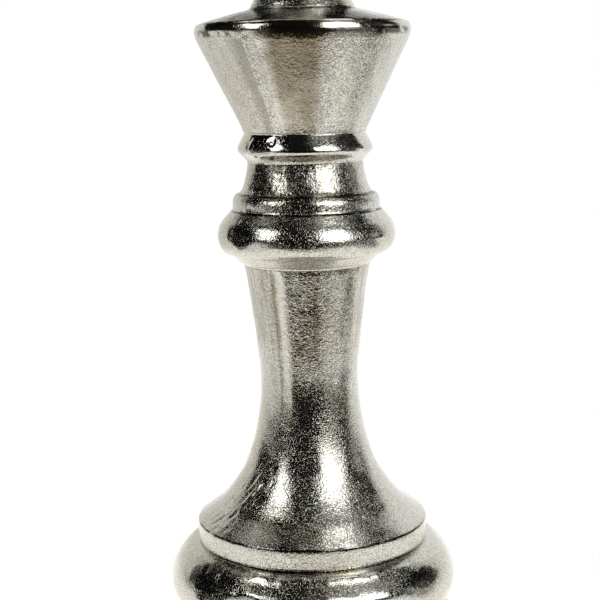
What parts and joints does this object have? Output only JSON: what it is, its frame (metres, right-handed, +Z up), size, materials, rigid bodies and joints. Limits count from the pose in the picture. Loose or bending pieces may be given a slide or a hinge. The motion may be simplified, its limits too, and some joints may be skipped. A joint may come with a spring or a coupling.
{
  "type": "giant lawn chess king",
  "caption": "Giant lawn chess king in nickel-plated cast aluminium: turned base, waisted stem, collar, flared crown and screw-on cross on a central tie rod.",
  "frame": {"origin": "on the turning axis, in the plane the four rubber feet rest on", "axes": "+Z up along the turning axis; the flat of the cross faces -Y and +Y, and its arms run along X"},
  "size_m": [0.238, 0.238, 0.635],
  "materials": {
    "nickel_casting": "rough-polished nickel plate over sand-cast aluminium, speckled grain",
    "satin_nickel_casting": "satin nickel plate over sand-cast aluminium, fine wavy grain",
    "nickel_finial": "rough-polished nickel plate over cast aluminium",
    "zinc_steel_hardware": "bright zinc-plated steel",
    "stainless_screws": "plain stainless steel",
    "brass_insert": "machined brass",
    "nylon_washer": "natural nylon",
    "sheet_aluminium": "mill-finish sheet",
    "black_rubber": "moulded rubber"
  },
  "bodies": {
    "piece": {"base_casting": "nickel_casting", "stem_casting": "nickel_casting", "collar_casting": "nickel_casting", "crown_casting": "satin_nickel_casting", "crown_cap": "satin_nickel_casting", "tie_rod": "zinc_steel_hardware", "crown_tie_nut": "zinc_steel_hardware", "crown_tie_washer": "zinc_steel_hardware", "base_tie_nut": "zinc_steel_hardware", "base_spring_washer": "zinc_steel_hardware", "base_load_washer": "zinc_steel_hardware", "base_cover_plate": "sheet_aluminium", "rubber_foot_1": "black_rubber", "foot_washer_1": "stainless_screws", "foot_screw_1": "stainless_screws", "rubber_foot_2": "black_rubber", "foot_washer_2": "stainless_screws", "foot_screw_2": "stainless_screws", "rubber_foot_3": "black_rubber", "foot_washer_3": "stainless_screws", "foot_screw_3": "stainless_screws", "rubber_foot_4": "black_rubber", "foot_washer_4": "stainless_screws", "foot_screw_4": "stainless_screws"},
    "finial_washer": {"finial_seat_washer": "nylon_washer"},
    "finial": {"finial_cross": "nickel_finial", "finial_threaded_insert": "brass_insert"}
  },
  "joints": [
    {"name": "finial_turn", "type": "hinge", "parent": "piece", "child": "finial_washer", "pos_m": [0, 0, 0.53], "axis": [0, 0, 1], "range_deg": [0, 4320]},
    {"name": "finial_rise", "type": "slide", "parent": "finial_washer", "child": "finial", "axis": [0, 0, 1], "range_m": [0, 0.018]}
  ],
  "couplings": [
    {"joint": "finial_rise", "follows": "finial_turn", "m_per_rad": 0.00023873}
  ]
}
